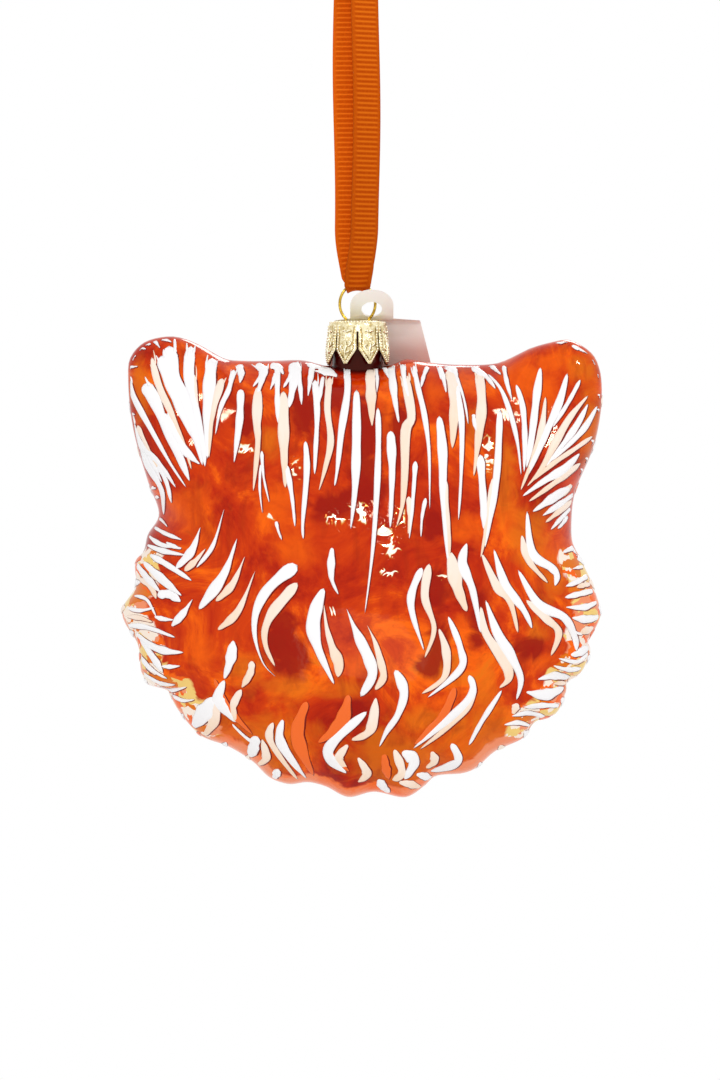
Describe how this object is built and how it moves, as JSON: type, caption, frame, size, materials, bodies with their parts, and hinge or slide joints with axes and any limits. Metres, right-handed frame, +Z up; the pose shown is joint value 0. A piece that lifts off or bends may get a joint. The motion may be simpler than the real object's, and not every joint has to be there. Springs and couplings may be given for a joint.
{
  "type": "glass cat ornament",
  "caption": "Hollow blown glass cat's head in orange lacquer with painted fur, under a gilt crown cap, wire hanger and card tag, hung on a grosgrain ribbon loop.",
  "frame": {"origin": "the hang point, between the two legs of ribbon just under the knot", "axes": "+Z up, +X to the viewer's right in the picture, which shows the back of the head, and +Y away from the viewer towards the cat's face"},
  "size_m": [0.0999, 0.0433, 0.1941],
  "materials": {
    "orange_ribbon": "ribbed grosgrain weave",
    "gilt_wire": "bright gilt spring wire",
    "gilt_cap": "embossed pale gilt sheet metal",
    "tag_card": "plain card",
    "orange_glass": "translucent orange lacquer with raised enamel fur strokes"
  },
  "bodies": {
    "knot": {"ribbon_knot": "orange_ribbon"},
    "ribbon": {"ribbon_loop": "orange_ribbon"},
    "hanger": {"wire_hanger": "gilt_wire", "crown_cap": "gilt_cap"},
    "tag": {"hang_tag": "tag_card"},
    "glass": {"glass_shell": "orange_glass"}
  },
  "joints": [
    {"name": "ribbon_swing", "type": "hinge", "parent": "knot", "child": "ribbon", "pos_m": [0, 0, 0], "axis": [0, 1, 0], "range_deg": [-25, 25]},
    {"name": "ornament_swing", "type": "hinge", "parent": "ribbon", "child": "hanger", "pos_m": [0, 0, -0.06921], "axis": [1, 0, 0], "range_deg": [-40, 40]},
    {"name": "tag_swing", "type": "hinge", "parent": "hanger", "child": "tag", "pos_m": [0, 0, -0.07436], "axis": [1, 0, 0], "range_deg": [0, 60]},
    {"name": "cap_pull", "type": "slide", "parent": "hanger", "child": "glass", "axis": [0, 0, -1], "range_m": [0, 0.022]}
  ]
}
